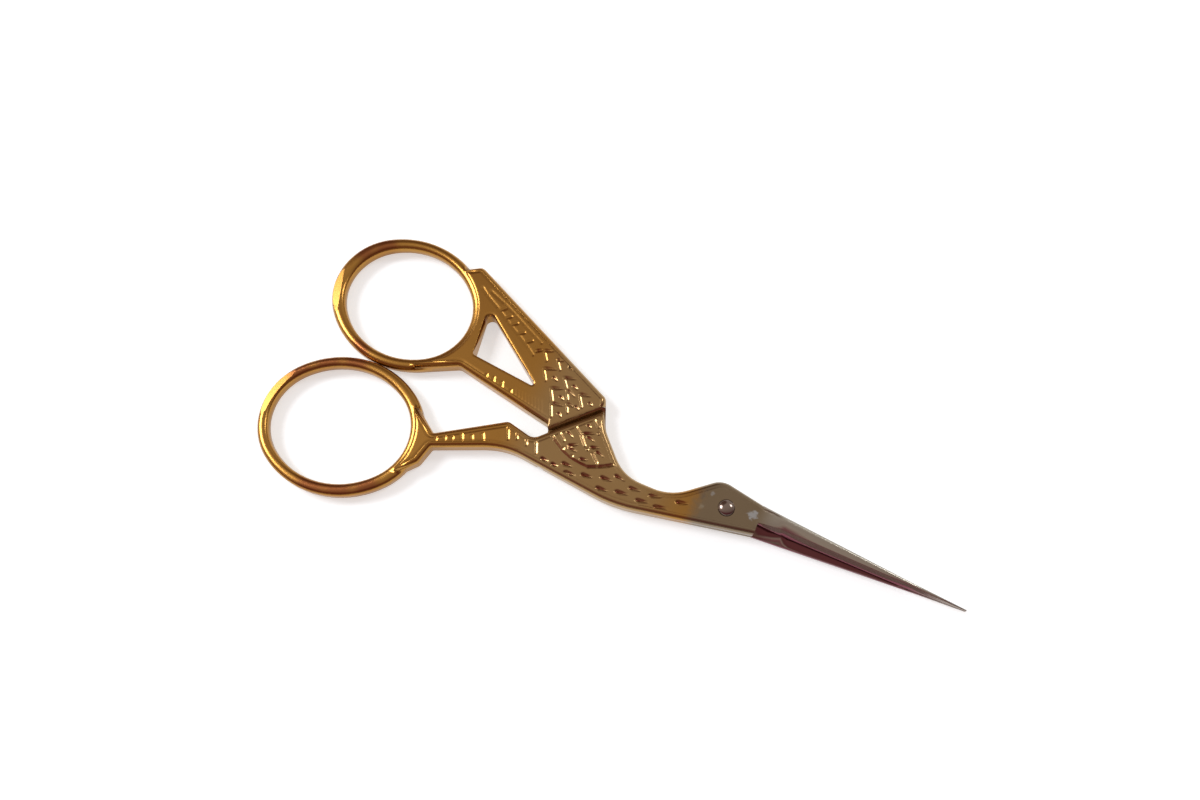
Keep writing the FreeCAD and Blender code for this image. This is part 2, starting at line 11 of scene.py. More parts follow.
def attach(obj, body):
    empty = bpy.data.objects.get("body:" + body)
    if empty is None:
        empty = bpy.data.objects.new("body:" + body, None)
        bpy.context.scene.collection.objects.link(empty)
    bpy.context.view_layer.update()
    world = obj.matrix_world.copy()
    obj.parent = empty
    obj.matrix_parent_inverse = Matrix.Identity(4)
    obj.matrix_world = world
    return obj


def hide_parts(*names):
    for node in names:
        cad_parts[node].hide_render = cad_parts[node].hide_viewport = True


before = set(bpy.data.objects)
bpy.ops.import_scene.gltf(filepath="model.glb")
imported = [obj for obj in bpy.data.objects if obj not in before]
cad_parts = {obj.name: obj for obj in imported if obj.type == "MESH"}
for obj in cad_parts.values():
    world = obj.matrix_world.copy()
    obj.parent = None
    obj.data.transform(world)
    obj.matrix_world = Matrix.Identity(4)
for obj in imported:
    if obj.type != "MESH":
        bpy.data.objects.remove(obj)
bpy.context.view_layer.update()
bpy.context.scene.view_settings.view_transform = "Standard"

MM = 0.001

# Heights and places below are in millimetres in the scissors' own frame: the rivet stands on the origin,
# the beak points along +X and the upper faces lie at TOP.
TOP = 3.4
RING_NEAR = -50.2                # nearest the rivet that the finger rings are free of the legs

# ---- camera: the photograph's own, worked out from the scissors' outline ----

PIXELS = 1200                    # width of the photograph
FOCAL_PIXELS = 867.0
ELEVATION = math.radians(71.05)
BEAK_TURN = math.radians(-23.45)  # beak's direction on the table, from the picture's left-right
PIXELS_PER_MM = 6.087
MIDDLE = 1.8                     # height of the plane that the scale is measured in
RIVET_AT = (127, 107)            # pixels that the rivet lies right of and below the picture's middle
RIVET_TOP = 4.0
SENSOR = 36.0                    # width of the film
NEAREST = 0.01
FARTHEST = 20

RIGHT = Vector((math.cos(BEAK_TURN), -math.sin(BEAK_TURN), 0))
AWAY = Vector((math.sin(BEAK_TURN), math.cos(BEAK_TURN), 0))
UP = Vector((0, 0, 1))


def place_camera():
    """The camera stands where the photograph was taken from, with the rivet's head at its own pixel."""
    distance = FOCAL_PIXELS / PIXELS_PER_MM
    eye = AWAY * (-distance * math.cos(ELEVATION)) + UP * (distance * math.sin(ELEVATION))
    ahead = -eye.normalized()
    up = RIGHT.cross(ahead)
    ray = ahead + RIGHT * (RIVET_AT[0] / FOCAL_PIXELS) - up * (RIVET_AT[1] / FOCAL_PIXELS)
    reach = (RIVET_TOP - MIDDLE - eye.z) / ray.z
    rivet = eye + ray * reach
    place = eye - Vector((rivet.x, rivet.y, -MIDDLE))
    camera = bpy.data.objects.new("camera", bpy.data.cameras.new("camera"))
    camera.data.sensor_width = SENSOR
    camera.data.lens = FOCAL_PIXELS / PIXELS * SENSOR
    camera.data.clip_start = NEAREST
    camera.data.clip_end = FARTHEST
    turn = Matrix((RIGHT, up, -ahead)).transposed()
    camera.matrix_world = Matrix.Translation(place * MM) @ turn.to_4x4()
    bpy.context.collection.objects.link(camera)
    bpy.context.scene.camera = camera


# ---- colours and nodes ----

def linear(colour):
    """The linear colour of an sRGB hex colour."""
    parts = [int(colour[start:start + 2], 16) / 255 for start in (1, 3, 5)]
    return (*(part / 12.92 if part <= 0.04045 else ((part + 0.055) / 1.055) ** 2.4 for part in parts), 1)


def feed(tree, socket, value):
    """Gives an input its plain value, or the output that feeds it."""
    if isinstance(value, bpy.types.NodeSocket):
        tree.links.new(value, socket)
    else:
        socket.default_value = value


def add(tree, kind, inputs=(), **settings):
    """A new node with its settings and its inputs."""
    node = tree.nodes.new(kind)
    for name, value in settings.items():
        setattr(node, name, value)
    for key, value in dict(inputs).items():
        feed(tree, node.inputs[key], value)
    return node


def math_node(tree, operation, *values):
    """One step of arithmetic, by the operation's own name."""
    return add(tree, "ShaderNodeMath", enumerate(values), operation=operation).outputs[0]


def ramp(tree, factor, stops):
    """A colour ramp through (place, colour) stops."""
    node = add(tree, "ShaderNodeValToRGB", {"Fac": factor})
    while len(node.color_ramp.elements) < len(stops):
        node.color_ramp.elements.new(0.5)
    for element, (place, colour) in zip(node.color_ramp.elements, stops):
        element.position = place
        element.color = colour
    return node.outputs["Color"]


def mix(tree, factor, first, second):
    """The first colour where the factor is 0, the second where it is 1."""
    node = add(tree, "ShaderNodeMix", data_type="RGBA")
    for key, value in (("Factor_Float", factor), ("A_Color", first), ("B_Color", second)):
        feed(tree, next(item for item in node.inputs if item.identifier == key), value)
    return next(item for item in node.outputs if item.identifier == "Result_Color")


def dot(tree, where, direction):
    """How far a direction points the other's way, from -1 to 1."""
    node = add(tree, "ShaderNodeVectorMath", {0: where, 1: direction}, operation="DOT_PRODUCT")
    return node.outputs["Value"]


def far_from(tree, where, place):
    """How far every point lies from the place."""
    node = add(tree, "ShaderNodeVectorMath", {0: where, 1: place}, operation="DISTANCE")
    return node.outputs["Value"]


def noise(tree, where, size, detail=3.0, roughness=0.5):
    """Noise with features about this many millimetres wide."""
    node = add(tree, "ShaderNodeTexNoise",
               {"Vector": where, "Scale": 1 / (size * MM), "Detail": detail, "Roughness": roughness})
    return node.outputs["Fac"]


def between(tree, value, low, high, to_low=0.0, to_high=1.0):
    """A soft step from one result to the other while the value goes from low to high."""
    node = add(tree, "ShaderNodeMapRange", {"Value": value, "From Min": low, "From Max": high,
                                            "To Min": to_low, "To Max": to_high},
               interpolation_type="SMOOTHSTEP")
    return node.outputs["Result"]


def new_material(name):
    """A material with an empty tree of nodes."""
    material = bpy.data.materials.new(name)
    material.use_nodes = True
    material.node_tree.nodes.clear()
    return material, material.node_tree


def finish_material(tree, shader):
    """Gives the material its surface."""
    add(tree, "ShaderNodeOutputMaterial", {"Surface": shader})


# ---- engraving: every mark is one stroke of a chisel ----
# Each stroke starts and ends at an (x, y) of its own.

# A scale of the wing is its point, the end of its upper arm and the end of its lower arm.
WING_SCALES = ((-37.1, 12.8, -35.3, 13.3, -35.9, 11.1), (-34.5, 12.2, -33.1, 12.3, -33.2, 10.5),
               (-35.9, 9.9, -33.4, 10.6, -34.6, 7.9), (-32.2, 9.7, -29.8, 10.3, -30.9, 8.1),
               (-33.4, 7.2, -31.0, 8.0, -32.1, 5.1), (-28.7, 8.1, -26.4, 8.5, -27.3, 6.0),
               (-30.9, 8.0, -28.7, 7.2, -29.9, 6.2), (-32.3, 4.9, -29.9, 5.2, -31.2, 2.6),
               (-29.9, 5.8, -28.2, 5.7, -29.1, 4.2))
WING_DARTS = ((-33.9, 9.1, -32.7, 8.6), (-30.3, 9.0, -29.0, 8.6), (-31.5, 6.5, -30.4, 6.0),
              (-32.2, 11.8, -31.1, 11.4), (-30.6, 3.8, -29.6, 3.2), (-26.7, 7.3, -25.7, 7.0),
              (-28.5, 5.9, -27.4, 5.5), (-38.3, 12.1, -36.9, 13.1))
# The tail's two long lines run through these points.
TAIL_LINE = ((-50.0, 19.1), (-46.8, 17.9), (-44.3, 16.8), (-41.9, 15.6), (-39.6, 14.5), (-37.9, 13.7))
TAIL_EDGE = ((-51.6, 19.2), (-50.2, 18.2), (-47.4, 16.7), (-44.8, 15.1), (-42.1, 13.6), (-39.6, 12.1),
             (-38.3, 11.2))
TAIL_RUNGS = ((-46.8, 16.4, -46.1, 17.3), (-45.4, 15.4, -44.6, 16.3), (-44.0, 14.8, -43.1, 15.6),
              (-42.2, 13.8, -41.3, 14.5), (-40.4, 12.9, -39.5, 13.7), (-38.4, 12.0, -37.4, 12.8))
REAR_LEG = ((-44.0, 5.3, -43.8, 4.4), (-42.7, 5.3, -42.2, 3.7), (-41.1, 5.1, -40.6, 3.6),
            (-39.2, 4.4, -38.9, 3.4))
HATCH_FROM = (-38.6, 4.7)        # start of the first of the fine lines across the end of the rear leg
HATCH_REACH = (1.3, -2.6)        # from a fine line's start to its end
HATCH_STEP = 0.58
HATCH_LINES = 9
FRONT_LEG = ((-47.0, -7.0, -46.5, -8.3), (-45.6, -6.8, -45.0, -8.1), (-44.4, -6.6, -43.9, -7.6),
             (-43.2, -5.6, -42.5, -6.9), (-41.7, -5.1, -41.0, -6.2), (-40.2, -4.1, -39.4, -5.5),
             (-36.9, -1.5, -36.0, -3.6), (-35.2, -1.7, -34.7, -3.0), (-33.5, -1.7, -32.9, -3.3),
             (-32.0, -1.4, -30.9, -4.0))
BREAST_EDGE = ((-30.1, 0.1), (-29.0, -0.7), (-27.3, -1.7), (-25.7, -2.3), (-24.1, -2.5), (-22.6, -2.6),
               (-21.0, -1.9), (-19.7, -1.2), (-18.9, -0.6))
BREAST_LINES = ((-27.1, 2.9, -25.6, 1.8), (-25.6, 1.8, -24.2, 0.3), (-22.8, -0.2, -21.3, -1.5),
                (-28.9, 0.8, -27.6, -0.2), (-25.0, 5.3, -23.4, 4.0))
BREAST_FEATHERS = ((-25.5, 2.1, -23.3, 3.1), (-24.7, 2.0, -22.9, 1.6), (-28.0, 1.5, -26.3, 0.8),
                   (-26.9, -0.7, -25.1, 0.4), (-26.7, -0.9, -24.8, -1.0), (-23.5, 0.5, -21.7, 1.1),
                   (-22.4, 0.3, -20.5, -0.2), (-24.3, -1.9, -22.7, -1.5), (-25.4, 3.8, -24.4, 3.5),
                   (-27.1, 3.2, -25.7, 4.1))
BREAST_DOTS = ((-25.4, 1.7), (-23.0, 3.1), (-27.2, -1.3), (-23.6, 0.0), (-21.1, -1.7), (-25.4, -1.9))
NECK_FEATHERS = ((-30.0, -4.2, -28.4, -4.2), (-28.1, -4.4, -26.7, -4.3), (-26.6, -3.6, -24.5, -3.5),
                 (-25.7, -4.8, -23.4, -4.6), (-23.1, -4.1, -20.8, -3.8), (-20.1, -3.3, -17.7, -3.1),
                 (-18.1, -2.1, -15.9, -2.4), (-20.1, -5.1, -17.7, -4.9), (-17.1, -4.5, -14.5, -4.1),
                 (-15.3, -3.1, -13.0, -2.8), (-13.6, -4.5, -11.2, -4.0), (-12.0, -3.0, -9.6, -2.4),
                 (-10.7, -4.4, -8.2, -3.7), (-7.7, -2.3, -5.4, -1.7))

BAR = 0
FEATHER = 1

# The cuts: width, depth and the chisel's tip.
UPPER_ARM = (0.75, 0.24, FEATHER)
LOWER_ARM = (0.55, 0.12, BAR)
LOWER_ARM_FROM = (-0.05, 0.1)    # from a scale's point to the start of its lower arm
DART = (0.75, 0.26, FEATHER)
TAIL_CUT = (0.7, 0.075, BAR)
RUNG = (0.8, 0.10, BAR)
LEG_BAR = (0.65, 0.14, BAR)
HATCH = (0.36, 0.035, BAR)
EDGE_CUT = (0.6, 0.26, BAR)
EDGE_JOIN = (0.55, 0.26, BAR)    # a short cut over each corner of the breast's edge
EDGE_JOIN_HALF = 0.25
BREAST_CUT = (0.55, 0.18, BAR)
BREAST_FEATHER = (0.7, 0.28, FEATHER)
DOT = (0.6, 0.2, FEATHER)
DOT_HALF = 0.3
NECK_FEATHER = (0.85, 0.34, FEATHER)


def along(line, cut):
    """Strokes from each point of a line to its next."""
    return [(*start, *end, *cut) for start, end in zip(line, line[1:])]


def level(x, y, half, cut):
    """A short stroke along the scissors, with its middle at the place."""
    return (x - half, y, x + half, y, *cut)


def rear_strokes():
    """Wing, tail and leg: start, end, width, depth and tip of each stroke."""
    strokes = []
    for x, y, upper_x, upper_y, lower_x, lower_y in WING_SCALES:
        strokes.append((x, y, upper_x, upper_y, *UPPER_ARM))
        strokes.append((x + LOWER_ARM_FROM[0], y + LOWER_ARM_FROM[1], lower_x, lower_y, *LOWER_ARM))
    strokes += [(*stroke, *DART) for stroke in WING_DARTS]
    strokes += along(TAIL_LINE, TAIL_CUT) + along(TAIL_EDGE, TAIL_CUT)
    strokes += [(*stroke, *RUNG) for stroke in TAIL_RUNGS]
    strokes += [(*stroke, *LEG_BAR) for stroke in REAR_LEG]
    start_x, start_y = HATCH_FROM
    for line in range(HATCH_LINES):
        x = start_x + line * HATCH_STEP
        strokes.append((x, start_y, x + HATCH_REACH[0], start_y + HATCH_REACH[1], *HATCH))
    return strokes


def front_strokes():
    """Leg, breast and neck, each stroke in the same form."""
    strokes = [(*stroke, *LEG_BAR) for stroke in FRONT_LEG]
    strokes += along(BREAST_EDGE, EDGE_CUT)
    strokes += [level(x, y, EDGE_JOIN_HALF, EDGE_JOIN) for x, y in BREAST_EDGE[1:-1]]
    strokes += [(*stroke, *BREAST_CUT) for stroke in BREAST_LINES]
    strokes += [(*stroke, *BREAST_FEATHER) for stroke in BREAST_FEATHERS]
    strokes += [level(x, y, DOT_HALF, DOT) for x, y in BREAST_DOTS]
    strokes += [(*stroke, *NECK_FEATHER) for stroke in NECK_FEATHERS]
    return strokes


# A chisel's tip along its stroke: place, half width and depth, as shares of the stroke's own.
FEATHER_TIP = ((-1.0, 0.0, 0.0), (-0.85, 0.75, 0.7), (-0.55, 1.0, 1.0), (0.1, 0.75, 0.7), (0.6, 0.4, 0.35),
               (1.0, 0.0, 0.0))
BAR_TIP = ((-1.1, 0.6, 0.1), (-0.9, 1.0, 1.0), (0.9, 1.0, 0.9), (1.1, 0.6, 0.1))


def chisel_tip(name, stations):
    """The V-shaped underside of a chisel that reaches one unit each way along, one aside and one down."""
    points = []
    faces = []
    for place, half, depth in stations:
        points += [(place, half, 0), (place, 0, -depth), (place, -half, 0)]
    for start in range(0, 3 * (len(stations) - 1), 3):
        for side in (start, start + 1):
            faces.append((side, side + 1, side + 4, side + 3))
    mesh = bpy.data.meshes.new(name)
    mesh.from_pydata(points, [], faces)
    tip = bpy.data.objects.new(name, mesh)
    bpy.context.collection.objects.link(tip)
    return tip


def named(tree, name, kind):
    """A value that every point of the mesh holds under this name."""
    node = add(tree, "GeometryNodeInputNamedAttribute", {"Name": name}, data_type=kind)
    return node.outputs["Attribute"]


DEEPEST = 1 * MM                 # deeper than any stroke
SOFTNESS = 3                     # steps over the skin by which a stroke's edges are softened
LIP_REACH = 14                   # steps over the skin that a stroke's lips spread
LIP_HEIGHT = 0.35                # height of the lips, as a share of the stroke's depth
UNEVENNESS = 0.03                # how far the skin waves up and down
WAVE_LENGTH = 9


def pressing_tree():
    """Geometry nodes that press a chisel into the skin at every stroke and raise soft lips beside it."""
    tree = bpy.data.node_groups.new("pressed_strokes", "GeometryNodeTree")
    keys = {}
    for name, kind in (("Piece", "Geometry"), ("Strokes", "Object"), ("Feather", "Object"), ("Bar", "Object"),
                       ("Top", "Float"), ("Softness", "Int"), ("Lip reach", "Int"), ("Lip height", "Float"),
                       ("Unevenness", "Float"), ("Waves in a metre", "Float"), ("Metal", "Material")):
        socket = tree.interface.new_socket(name, in_out="INPUT", socket_type="NodeSocket" + kind)
        keys[name] = socket.identifier
    tree.interface.new_socket("Piece", in_out="OUTPUT", socket_type="NodeSocketGeometry")
    given = tree.nodes.new("NodeGroupInput").outputs
    points = add(tree, "GeometryNodeObjectInfo", {"Object": given["Strokes"]}).outputs["Geometry"]
    strikes = tree.nodes.new("GeometryNodeJoinGeometry")
    for number, name in ((BAR, "Bar"), (FEATHER, "Feather")):
        tip = add(tree, "GeometryNodeObjectInfo", {"Object": given[name], "As Instance": True})
        # A comparison of whole numbers takes its third and fourth inputs.
        chosen = add(tree, "FunctionNodeCompare", {2: named(tree, "tip", "INT"), 3: number},
                     data_type="INT", operation="EQUAL")
        strike = add(tree, "GeometryNodeInstanceOnPoints",
                     {"Points": points, "Selection": chosen.outputs[0], "Instance": tip.outputs["Geometry"],
                      "Rotation": named(tree, "turn", "FLOAT_VECTOR"),
                      "Scale": named(tree, "reach", "FLOAT_VECTOR")})
        tree.links.new(strike.outputs[0], strikes.inputs[0])
    struck = add(tree, "GeometryNodeRealizeInstances", {"Geometry": strikes.outputs[0]}).outputs[0]
    place = tree.nodes.new("GeometryNodeInputPosition").outputs[0]
    below = add(tree, "ShaderNodeVectorMath", {0: place, 1: (0, 0, -DEEPEST)}, operation="ADD").outputs[0]
    hit = add(tree, "GeometryNodeRaycast",
              {"Target Geometry": struck, "Source Position": below, "Ray Direction": (0, 0, 1),
               "Ray Length": DEEPEST})
    found = add(tree, "ShaderNodeSeparateXYZ", {"Vector": hit.outputs["Hit Position"]}).outputs["Z"]
    sunk = math_node(tree, "SUBTRACT", found, given["Top"])
    sunk = add(tree, "GeometryNodeSwitch", {"Switch": hit.outputs["Is Hit"], "False": 0.0, "True": sunk},
               input_type="FLOAT").outputs[0]
    soft, wide = (add(tree, "GeometryNodeBlurAttribute", {"Value": sunk, "Iterations": given[name]},
                      data_type="FLOAT").outputs[0] for name in ("Softness", "Lip reach"))
    lip = math_node(tree, "SUBTRACT", soft, wide)
    lift = math_node(tree, "MULTIPLY_ADD", lip, given["Lip height"], soft)
    wave = add(tree, "ShaderNodeTexNoise",
               {"Vector": place, "Scale": given["Waves in a metre"], "Detail": 1.0})
    wave = math_node(tree, "SUBTRACT", wave.outputs[0], 0.5)
    lift = math_node(tree, "MULTIPLY_ADD", wave, given["Unevenness"], lift)
    moved = add(tree, "GeometryNodeSetPosition",
                {"Geometry": given["Piece"], "Selection": named(tree, "skin", "BOOLEAN"),
                 "Offset": add(tree, "ShaderNodeCombineXYZ", {"Z": lift}).outputs[0]})
    marked = add(tree, "GeometryNodeStoreNamedAttribute",
                 {"Geometry": moved.outputs[0], "Name": "pressed", "Value": soft}, data_type="FLOAT")
    painted = add(tree, "GeometryNodeSetMaterial",
                  {"Geometry": marked.outputs[0], "Material": given["Metal"]})
    add(tree, "NodeGroupOutput", {"Piece": painted.outputs[0]})
    return tree, keys


def press(piece, strokes, metal):
    """Strikes every stroke into the piece's top skin."""
    tree, keys = pressing_tree()
    feather = chisel_tip("feather_chisel", FEATHER_TIP)
    bar = chisel_tip("bar_chisel", BAR_TIP)
    mesh = bpy.data.meshes.new("strokes")
    mesh.from_pydata([((x + end_x) / 2 * MM, (y + end_y) / 2 * MM, TOP * MM)
                      for x, y, end_x, end_y, *_ in strokes], [], [])
    turns = []
    reaches = []
    for x, y, end_x, end_y, width, depth, tip in strokes:
        turns += (0, 0, math.atan2(end_y - y, end_x - x))
        reaches += (math.hypot(end_x - x, end_y - y) / 2 * MM, width / 2 * MM, depth * MM)
    mesh.attributes.new("turn", "FLOAT_VECTOR", "POINT").data.foreach_set("vector", turns)
    mesh.attributes.new("reach", "FLOAT_VECTOR", "POINT").data.foreach_set("vector", reaches)
    mesh.attributes.new("tip", "INT", "POINT").data.foreach_set("value", [stroke[6] for stroke in strokes])
    points = bpy.data.objects.new("strokes", mesh)
    bpy.context.collection.objects.link(points)
    modifier = piece.modifiers.new("pressing", "NODES")
    modifier.node_group = tree
    for name, value in (("Strokes", points), ("Feather", feather), ("Bar", bar), ("Top", TOP * MM),
                        ("Softness", SOFTNESS), ("Lip reach", LIP_REACH), ("Lip height", LIP_HEIGHT),
                        ("Unevenness", UNEVENNESS * MM), ("Waves in a metre", 1 / (WAVE_LENGTH * MM)),
                        ("Metal", metal)):
        modifier[keys[name]] = value
    piece.data = settled(piece)
    piece.modifiers.clear()
    for helper in (points, feather, bar):
        bpy.data.objects.remove(helper)


def settled(obj):
    """The object's mesh with its modifiers worked in."""
    bpy.context.view_layer.update()
    graph = bpy.context.evaluated_depsgraph_get()
    return bpy.data.meshes.new_from_object(obj.evaluated_get(graph), preserve_all_data_layers=True,
                                           depsgraph=graph)


# ---- pieces ----

SAME_POINT = 0.0005 * MM
SHARP = math.radians(34)         # edges that turn by more than this stay crisp


def merged(node, name):
    """A copy of a CAD node's mesh with its triangles joined."""
    mesh = bpy.data.meshes.new(name)
    work = bmesh.new()
    work.from_mesh(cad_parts[node].data)
    bmesh.ops.remove_doubles(work, verts=work.verts, dist=SAME_POINT)
    bmesh.ops.recalc_face_normals(work, faces=work.faces)
    work.to_mesh(mesh)
    work.free()
    mesh.materials.clear()
    piece = bpy.data.objects.new(name, mesh)
    bpy.context.collection.objects.link(piece)
    return piece


CELL = 0.095                     # spacing of the skin's own mesh
ROW = 0.866                      # height of a row of even triangles, in cells
RIM_STEP = 1.3                   # spacing along the rim, in cells
RIM_CLEAR = 0.55                 # nearest that a point inside comes to the rim, in cells
SKIN_TO = 4.6                    # the skin is fine up to here, towards the beak
SHOULDER = 0.45                  # width of the skin's soft shoulder along its rim
SHOULDER_DROP = 0.08             # how far the rim lies below the flat
LEVEL = 0.9999                   # a face whose normal rises by more than this lies flat
# The layer in which Blender keeps how much a face's normal counts, and what it holds for the strongest.
STRENGTH = "__mod_weightednormals_faceweight"
STRONG = 16383


def is_flat(face):
    """Whether the face is a part of the flat top."""
    return face.normal.z > LEVEL and all(abs(vertex.co.z - TOP * MM) < SAME_POINT for vertex in face.verts)


def rim_of(work, flats):
    """The edges round the faces."""
    return [edge for edge in work.edges if sum(face in flats for face in edge.link_faces) == 1]


def split_rim(work):
    """Splits the edges round the flat top about as finely as the skin."""
    for edge in rim_of(work, {face for face in work.faces if is_flat(face)}):
        cuts = int(edge.calc_length() / (RIM_STEP * CELL * MM))
        if cuts and max(vertex.co.x for vertex in edge.verts) < SKIN_TO * MM:
            bmesh.ops.subdivide_edges(work, edges=[edge], cuts=cuts)


def corner_runs(faces):
    """The faces as runs of numbers, corner after corner."""
    runs = []
    start = 0
    for face in faces:
        runs.append(tuple(range(start, start + len(face.verts))))
        start += len(face.verts)
    return runs


def lies_over(old, place):
    """Whether the old flat has metal at the place."""
    return old.ray_cast(Vector((place.x, place.y, (TOP + 1) * MM)), -UP)[0] is not None


def even_points(rim, near_rim, old):
    """Points in even rows on the flat, clear of its rim."""
    low_x, low_y = (min(vertex.co[axis] for vertex in rim) for axis in (0, 1))
    high_x, high_y = (max(vertex.co[axis] for vertex in rim) for axis in (0, 1))
    rows = int((high_y - low_y) / (CELL * MM * ROW))
    columns = int((min(high_x, SKIN_TO * MM) - low_x) / (CELL * MM))
    inside = []
    for row in range(rows):
        for column in range(columns):
            point = Vector((low_x + (column + row % 2 / 2) * CELL * MM,
                            low_y + row * CELL * MM * ROW, TOP * MM))
            if lies_over(old, point) and near_rim.find(point)[2] > RIM_CLEAR * CELL * MM:
                inside.append(point)
    return inside


def lower_shoulder(work, skin, near_rim):
    """Lowers the skin softly towards its rim, less and less towards the beak."""
    for vertex in work.verts:
        if vertex[skin]:
            share = max(0, 1 - near_rim.find(Vector((*vertex.co.to_2d(), TOP * MM)))[2] / (SHOULDER * MM))
            fade = min(1, max(0, SKIN_TO - vertex.co.x / MM))
            vertex.co.z -= SHOULDER_DROP * MM * share ** 2 * fade


def weave_skin(piece):
    """Gives the piece's flat top an even, fine mesh that the strokes can be pressed into."""
    work = bmesh.new()
    work.from_mesh(piece.data)
    skin = work.verts.layers.bool.new("skin")
    strength = work.faces.layers.int[STRENGTH]
    split_rim(work)
    flats = [face for face in work.faces if is_flat(face)]
    rims = rim_of(work, set(flats))
    old = BVHTree.FromPolygons([vertex.co.copy() for face in flats for vertex in face.verts],
                               corner_runs(flats))
    rim = list(dict.fromkeys(vertex for edge in rims for vertex in edge.verts))
    numbers = {vertex: number for number, vertex in enumerate(rim)}
    near_rim = KDTree(len(rim))
    for vertex, number in numbers.items():
        near_rim.insert(vertex.co, number)
    near_rim.balance()
    places = [vertex.co.to_2d() / MM for vertex in rim]
    places += [point.to_2d() / MM for point in even_points(rim, near_rim, old)]
    lines = [tuple(numbers[vertex] for vertex in edge.verts) for edge in rims]
    points, _, triangles, origins, _, _ = delaunay_2d_cdt(places, lines, [], 0, 1e-6, True)
    vertices = {number: rim[min(sources)] for number, sources in enumerate(origins)
                if min(sources) < len(rim)}
    bmesh.ops.delete(work, geom=flats, context="FACES_ONLY")
    for vertex in rim:
        vertex[skin] = True
    for triangle in triangles:
        middle = sum((points[corner] for corner in triangle), Vector((0, 0))) / 3 * MM
        if not lies_over(old, middle):
            continue
        for number in triangle:
            if number not in vertices:
                vertices[number] = work.verts.new((*(points[number] * MM), TOP * MM))
                vertices[number][skin] = True
        face = work.faces.new([vertices[number] for number in triangle])
        face[strength] = STRONG
        if face.normal.z < 0:
            face.normal_flip()
    lower_shoulder(work, skin, near_rim)
    bmesh.ops.delete(work, geom=[edge for edge in work.edges if edge.is_wire], context="EDGES")
    bmesh.ops.delete(work, geom=[vertex for vertex in work.verts if not vertex.link_faces], context="VERTS")
    work.normal_update()
    bmesh.ops.recalc_face_normals(work, faces=work.faces)
    work.to_mesh(piece.data)
    work.free()


WIRE_MIDDLE = 0.85               # from a ring's outside to the middle of its wire
FLAT_DEPTH = 0.15                # how deep a ring's flat is filed at the top of the wire
WIRE_NEAR = 3                    # the wire's top is looked for this near to the flat's middle
FILE_REACH = 9                   # faces within this are filed


def file_flat(piece, turn, tilt):
    """Files a flat, sloping down outwards, across the top of the ring's wire where the turn points to."""
    outward = Vector((math.cos(turn), math.sin(turn), 0))
    work = bmesh.new()
    work.from_mesh(piece.data)
    filed = work.edges.layers.bool.new("filed")
    strength = work.faces.layers.int.new(STRENGTH)
    ring = [vertex for vertex in work.verts if vertex.co.x < RING_NEAR * MM]
    place = max(ring, key=lambda vertex: vertex.co.dot(outward)).co - outward * WIRE_MIDDLE * MM
    crest = max(vertex.co.z for vertex in ring if (vertex.co - place).to_2d().length < WIRE_NEAR * MM)
    place.z = crest - FLAT_DEPTH * MM
    normal = outward * math.sin(tilt) + UP * math.cos(tilt)
    near = [face for face in work.faces if (face.calc_center_median() - place).length < FILE_REACH * MM]
    around = set(near)
    for face in near:
        around.update(face.edges)
        around.update(face.verts)
    cut = bmesh.ops.bisect_plane(work, geom=list(around), plane_co=place, plane_no=normal, clear_outer=True)
    edges = [part for part in cut["geom_cut"] if isinstance(part, bmesh.types.BMEdge)]
    for edge in edges:
        edge[filed] = True
    for face in bmesh.ops.holes_fill(work, edges=edges, sides=0)["faces"]:
        face[strength] = STRONG
    bmesh.ops.triangulate(work, faces=[face for face in work.faces if len(face.verts) > 3])
    bmesh.ops.recalc_face_normals(work, faces=work.faces)
    work.to_mesh(piece.data)
    work.free()


def smooth(piece):
    """Shades rounded edges round and keeps the flat faces and the engraved edges crisp."""
    mesh = piece.data
    mesh.polygons.foreach_set("use_smooth", [True] * len(mesh.polygons))
    mesh.set_sharp_from_angle(angle=SHARP)
    body = piece.vertex_groups.new(name="forged")
    body.add([vertex.index for vertex in mesh.vertices if vertex.co.x > RING_NEAR * MM], 1.0, "REPLACE")
    if "filed" in mesh.attributes:
        for edge, filed in zip(mesh.edges, mesh.attributes["filed"].data):
            if filed.value:
                edge.use_edge_sharp = True
    modifier = piece.modifiers.new("flat_faces", "WEIGHTED_NORMAL")
    modifier.keep_sharp = True
    modifier.use_face_influence = True
    modifier.vertex_group = body.name
    piece.data = settled(piece)
    piece.modifiers.clear()
    piece.vertex_groups.clear()


def own_piece(piece, node, body):
    """Hands the piece over in place of its CAD node, on its body."""
    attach(piece, body)
    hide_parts(node)


# ---- finishes ----

# Places on the rings' wires with a painted dark copper-red reflection: x, y and size.
RING_REFLECTIONS = ((-72.4, -6.5, 3.0), (-69.0, -3.4, 3.4), (-64.8, -1.4, 3.0), (-61.5, -22.6, 3.6),
          (-57.2, -21.4, 3.4), (-53.2, -19.4, 3.0), (-73.4, 17.4, 2.6), (-70.4, 19.6, 3.0), (-65.5, 1.4, 2.6))
WIRE_TOP = 2.4
